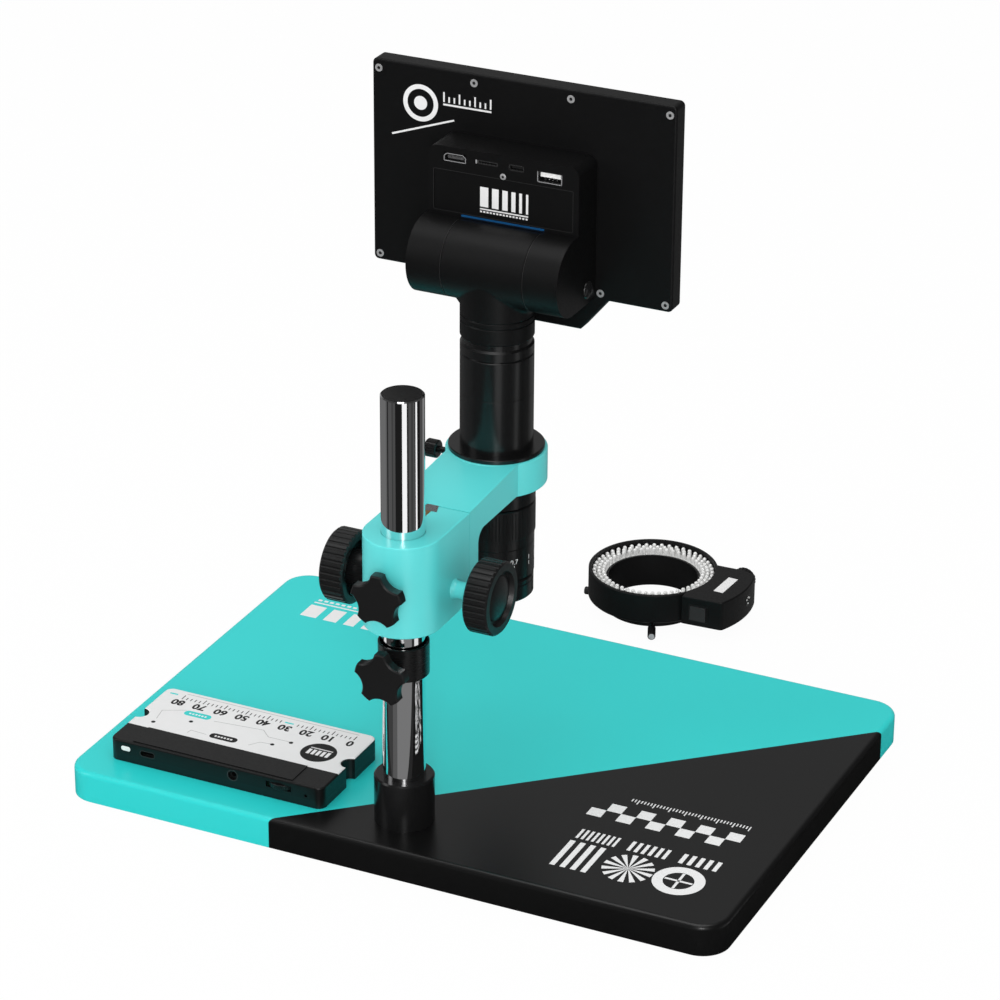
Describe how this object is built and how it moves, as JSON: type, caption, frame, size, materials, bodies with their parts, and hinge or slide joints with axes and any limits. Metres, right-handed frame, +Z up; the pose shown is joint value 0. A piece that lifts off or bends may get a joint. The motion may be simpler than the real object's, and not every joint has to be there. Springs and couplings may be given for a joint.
{
  "type": "digital microscope",
  "caption": "Digital microscope on a board stand with column, rack focus, zoom lens, tilting display, loose ring light and a small module box.",
  "frame": {"origin": "centre of the board's underside, on the table", "axes": "+Z up along the column, -Y towards the person who looks at the display, +X to that person's right"},
  "size_m": [0.42, 0.4308, 0.4204],
  "materials": {
    "teal_paint": "satin turquoise paint on cast aluminium",
    "black_metal": "black anodised, satin",
    "column_chrome": "polished plating",
    "socket_black": "black anodised",
    "steel": "turned, dark oil finish",
    "screw_steel": "bright zinc plating",
    "bronze": "turned bushes",
    "knob_plastic": "moulded black, satin",
    "black_plastic": "moulded black, satin",
    "foot_rubber": "soft black",
    "lens_glass": "coated optical glass",
    "cover_glass": "dark polished sheet",
    "lcd": "switched-off panel in a thin frame",
    "circuit_board": "green solder mask",
    "sensor_chip": "chip under glass",
    "port_metal": "thin plated sheet",
    "light_bar": "translucent blue",
    "led_white": "clear domes with white bodies",
    "led_plate": "white solder mask",
    "module_shell": "moulded, with a white and a dark printed field"
  },
  "bodies": {
    "stand": {"base_plate": "teal_paint", "base_feet": "foot_rubber", "post_socket": "socket_black", "socket_screws": "steel", "post_tube": "column_chrome", "post_cap": "black_plastic"},
    "collar": {"safety_collar": "black_metal"},
    "collar_clamp": {"collar_star_knob": "knob_plastic", "collar_stud": "steel"},
    "head_sleeve": {"column_sleeve": "bronze"},
    "focus_head": {"focus_block": "teal_paint", "pinion_bushes": "bronze"},
    "head_clamp": {"clamp_star_knob": "knob_plastic", "clamp_stud": "steel"},
    "focus_drive": {"pinion_shaft": "steel", "left_focus_knob": "knob_plastic", "right_focus_knob": "knob_plastic"},
    "drag_collar": {"tension_collar": "black_metal"},
    "arm": {"focus_arm": "teal_paint", "dovetail_rail": "steel", "rack": "bronze", "rail_screws": "steel"},
    "ring_screw": {"ring_thumb_screw": "black_metal"},
    "lens": {"lens_mount": "black_metal", "upper_tube": "black_metal", "camera_adapter": "black_metal", "objective_ring": "black_metal", "objective_glass": "lens_glass", "camera_housing": "black_metal", "sensor_board": "circuit_board", "image_sensor": "sensor_chip"},
    "zoom": {"zoom_ring": "black_metal", "scale_ring": "black_metal"},
    "cell": {"zoom_cell": "black_metal", "zoom_cell_glass": "lens_glass"},
    "display": {"display_rear_cover": "black_plastic", "display_bezel": "black_plastic", "lcd_panel": "lcd", "cover_glass": "cover_glass", "main_board": "circuit_board", "port_shells": "port_metal", "cover_screws": "screw_steel", "pod_plate": "black_plastic", "status_light": "light_bar", "hinge_axle": "steel"},
    "power": {"power_key": "black_plastic"},
    "menu": {"menu_key": "black_plastic"},
    "select": {"select_key": "black_plastic"},
    "ring_light": {"light_housing": "black_plastic", "led_board": "led_plate", "led_bulbs": "led_white"},
    "rocker": {"rocker_switch": "black_plastic"},
    "dimmer": {"dimmer_knob": "black_plastic"},
    "back_screw": {"back_light_screw": "black_metal"},
    "left_screw": {"left_light_screw": "black_metal"},
    "front_screw": {"front_light_screw": "black_metal"},
    "module": {"module_base": "black_plastic", "module_cover": "module_shell", "module_board": "circuit_board"},
    "thumbwheel": {"module_thumbwheel": "black_plastic"}
  },
  "joints": [
    {"name": "collar_slide", "type": "slide", "parent": "stand", "child": "collar", "axis": [0, 0, 1], "range_m": [-0.06, 0.005]},
    {"name": "collar_knob_turn", "type": "hinge", "parent": "collar", "child": "collar_clamp", "pos_m": [0.002, 0.1412, 0.1235], "axis": [0, 1, 0], "range_deg": [0, 360]},
    {"name": "head_slide", "type": "slide", "parent": "stand", "child": "head_sleeve", "axis": [0, 0, 1], "range_m": [-0.005, 0.075]},
    {"name": "head_swivel", "type": "hinge", "parent": "head_sleeve", "child": "focus_head", "pos_m": [0.002, 0.1103, 0.175], "axis": [0, 0, 1], "range_deg": [-180, 180]},
    {"name": "head_knob_turn", "type": "hinge", "parent": "focus_head", "child": "head_clamp", "pos_m": [0.002, 0.145, 0.1745], "axis": [0, 1, 0], "range_deg": [0, 360]},
    {"name": "focus_slide", "type": "slide", "parent": "focus_head", "child": "arm", "axis": [0, 0, 1], "range_m": [-0.022, 0.014]},
    {"name": "focus_knob_turn", "type": "hinge", "parent": "focus_head", "child": "focus_drive", "pos_m": [0.002, 0.092, 0.1644], "axis": [-1, 0, 0], "range_deg": [-362, 231]},
    {"name": "drag_collar_turn", "type": "hinge", "parent": "focus_head", "child": "drag_collar", "pos_m": [0.035, 0.092, 0.1644], "axis": [1, 0, 0], "range_deg": [-30, 30]},
    {"name": "ring_screw_turn", "type": "hinge", "parent": "arm", "child": "ring_screw", "pos_m": [0.042, -0.0108, 0.19645], "axis": [1, 0, 0], "range_deg": [0, 360]},
    {"name": "lens_swivel", "type": "hinge", "parent": "arm", "child": "lens", "pos_m": [0.002, -0.0108, 0.19645], "axis": [0, 0, 1], "range_deg": [-180, 180]},
    {"name": "zoom_turn", "type": "hinge", "parent": "lens", "child": "zoom", "pos_m": [0.002, -0.0108, 0.1635], "axis": [0, 0, 1], "range_deg": [-75, 75]},
    {"name": "cell_slide", "type": "slide", "parent": "lens", "child": "cell", "axis": [0, 0, 1], "range_m": [-0.0046, 0.0046]},
    {"name": "display_tilt", "type": "hinge", "parent": "lens", "child": "display", "pos_m": [0.002, -0.0108, 0.32], "axis": [1, 0, 0], "range_deg": [-75, 5]},
    {"name": "power_press", "type": "slide", "parent": "display", "child": "power", "axis": [0, 1, 0], "range_m": [0, 0.0006], "stiffness_N_per_m": 900, "springref_m": -0.0004},
    {"name": "menu_press", "type": "slide", "parent": "display", "child": "menu", "axis": [0, 1, 0], "range_m": [0, 0.0006], "stiffness_N_per_m": 900, "springref_m": -0.0004},
    {"name": "select_press", "type": "slide", "parent": "display", "child": "select", "axis": [0, 1, 0], "range_m": [0, 0.0006], "stiffness_N_per_m": 900, "springref_m": -0.0004},
    {"name": "ring_light_lift", "type": "slide", "parent": "stand", "child": "ring_light", "axis": [0, 0, 1], "range_m": [0, 0.1]},
    {"name": "rocker_tilt", "type": "hinge", "parent": "ring_light", "child": "rocker", "pos_m": [-0.048, -0.21014, 0.0168], "axis": [0, 0, 1], "range_deg": [-5, 5]},
    {"name": "dimmer_turn", "type": "hinge", "parent": "ring_light", "child": "dimmer", "pos_m": [-0.0565, -0.26303, 0.0181], "axis": [0, -1, 0], "range_deg": [-135, 135]},
    {"name": "back_screw_turn", "type": "hinge", "parent": "ring_light", "child": "back_screw", "pos_m": [-0.02001, -0.19885, 0.0038], "axis": [-0.3859, 0.9225, 0], "range_deg": [0, 360]},
    {"name": "left_screw_turn", "type": "hinge", "parent": "ring_light", "child": "left_screw", "pos_m": [0.03768, -0.23103, 0.0038], "axis": [0.9877, 0.1564, 0], "range_deg": [0, 360]},
    {"name": "front_screw_turn", "type": "hinge", "parent": "ring_light", "child": "front_screw", "pos_m": [-0.0248, -0.27397, 0.0038], "axis": [-0.5, -0.866, 0], "range_deg": [0, 360]},
    {"name": "module_lift", "type": "slide", "parent": "stand", "child": "module", "axis": [0, 0, 1], "range_m": [0, 0.1]},
    {"name": "thumbwheel_turn", "type": "hinge", "parent": "module", "child": "thumbwheel", "pos_m": [0.0774, 0.1155, 0.028], "axis": [0, 0, 1], "range_deg": [-150, 150]}
  ],
  "couplings": [
    {"joint": "focus_knob_turn", "follows": "focus_slide", "rad_per_m": 285.71},
    {"joint": "cell_slide", "follows": "zoom_turn", "m_per_rad": 0.0034377}
  ]
}
